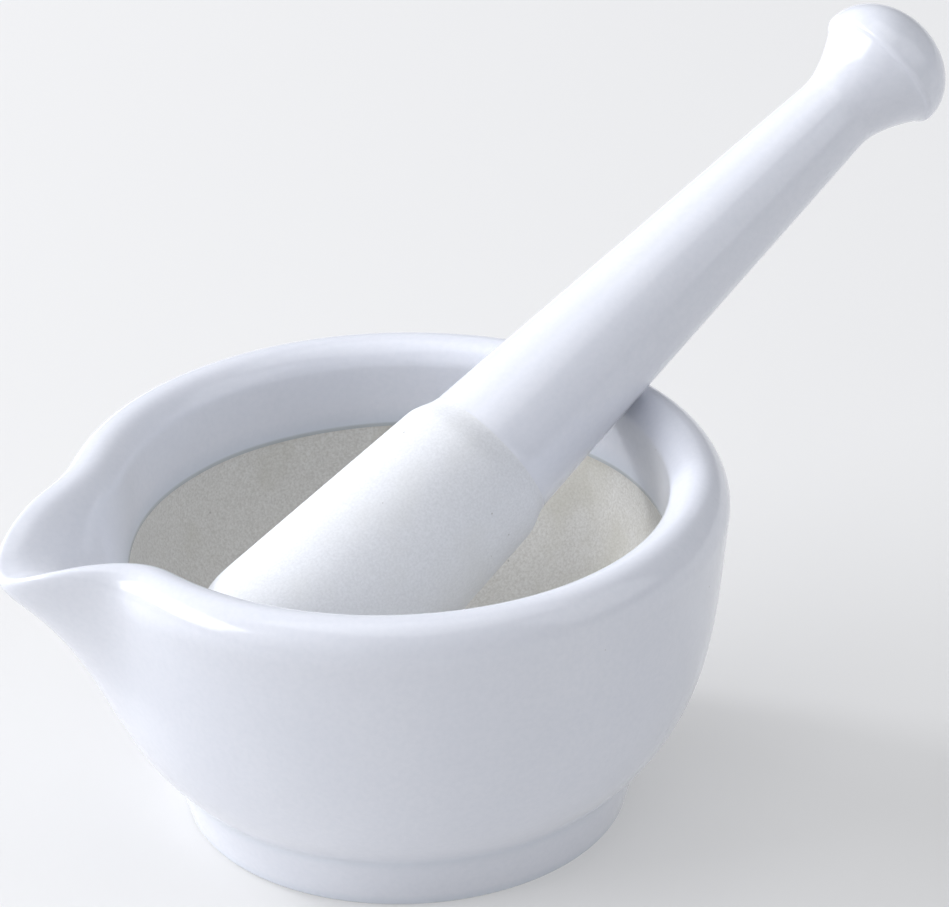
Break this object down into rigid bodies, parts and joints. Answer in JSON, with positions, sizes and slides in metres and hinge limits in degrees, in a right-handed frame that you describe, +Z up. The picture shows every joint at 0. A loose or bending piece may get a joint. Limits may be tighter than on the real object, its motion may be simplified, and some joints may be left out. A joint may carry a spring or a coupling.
{
  "type": "mortar and pestle",
  "caption": "White porcelain laboratory mortar with a drawn pouring spout and a low foot, with a one-piece porcelain pestle leaning over the rim; the pestle lifts out.",
  "frame": {"origin": "on the bowl's own axis, in the plane of the table that the foot stands on (the round panel under the base is 1 mm above it)", "axes": "+Z up along the bowl's axis, -X along the pouring spout; the pestle leans over the rim on the +X side, 14.6 degrees towards +Y"},
  "size_m": [0.1634, 0.1003, 0.1057],
  "materials": {
    "mortar_porcelain": "white hard porcelain, clear gloss glaze outside and on the upper inner wall, unglazed matt grinding surface and foot ring",
    "pestle_porcelain": "white hard porcelain, clear gloss glaze on handle and knob, unglazed matt grinding head"
  },
  "bodies": {
    "mortar": {"mortar": "mortar_porcelain"},
    "pestle": {"pestle": "pestle_porcelain"}
  },
  "joints": [
    {"name": "pestle_lift", "type": "slide", "parent": "mortar", "child": "pestle", "axis": [0, 0, 1], "range_m": [0, 0.055]}
  ]
}
